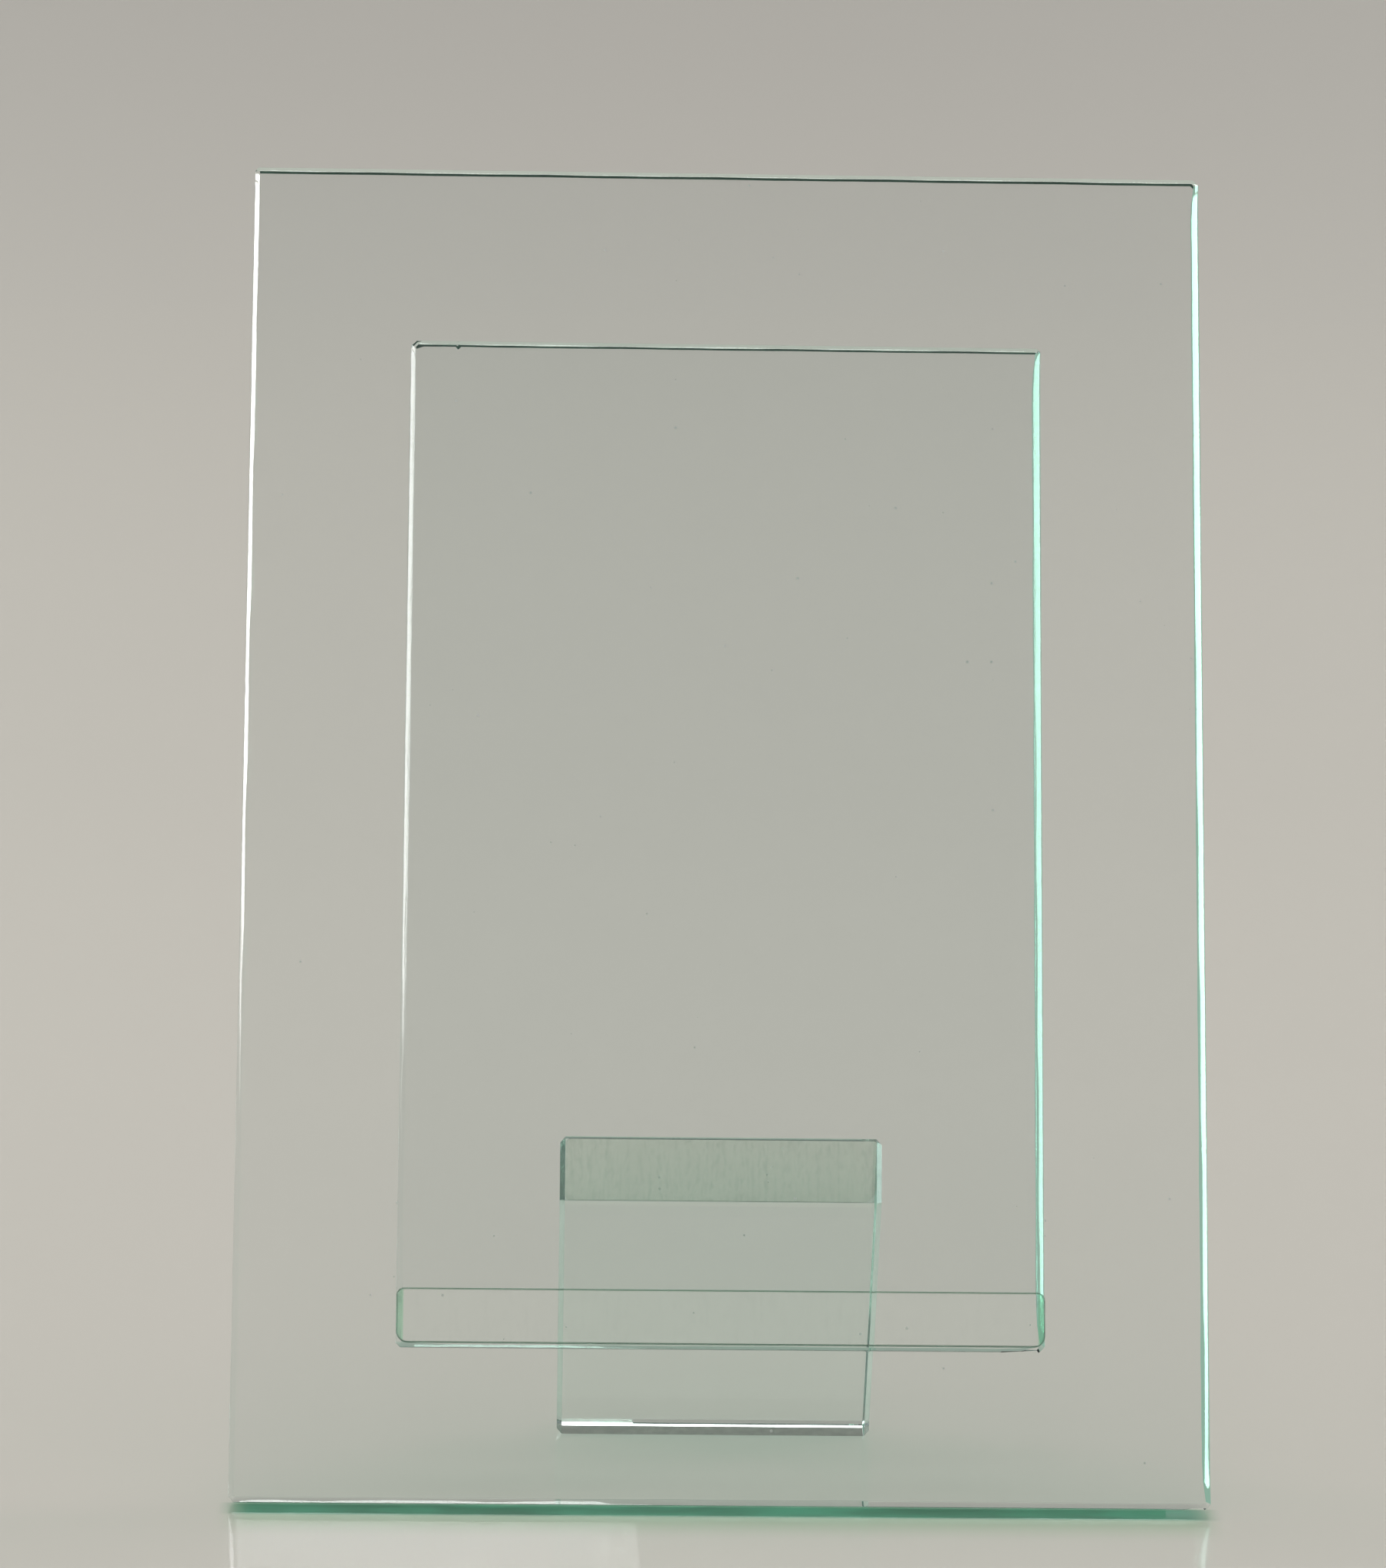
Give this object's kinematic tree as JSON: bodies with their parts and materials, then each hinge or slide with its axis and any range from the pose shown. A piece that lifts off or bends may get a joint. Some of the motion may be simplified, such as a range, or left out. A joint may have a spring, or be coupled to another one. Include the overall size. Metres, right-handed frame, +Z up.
{
  "type": "glass photo stand",
  "caption": "Leaning clear glass photo stand: a large pane, a smaller pane bonded behind it to hold a print between them, and a bevelled glass foot.",
  "frame": {"origin": "on the table, in the middle of the stand's footprint", "axes": "+Z up; the panes' front faces look towards -Y and lean back towards +Y; +X is the stand's right seen from the front"},
  "size_m": [0.15, 0.0682, 0.2005],
  "materials": {
    "pane_glass": "clear float glass with a slight green tint, deep green at the edges, ground and polished arrises",
    "foot_glass": "thicker clear float glass with a green tint, ground and polished arrises",
    "clear_adhesive": "cured clear adhesive"
  },
  "bodies": {
    "root": {"front_pane": "pane_glass", "back_pane": "pane_glass", "pane_bond_strip": "clear_adhesive", "foot_plate": "foot_glass", "foot_bond_film": "clear_adhesive"}
  },
  "joints": []
}
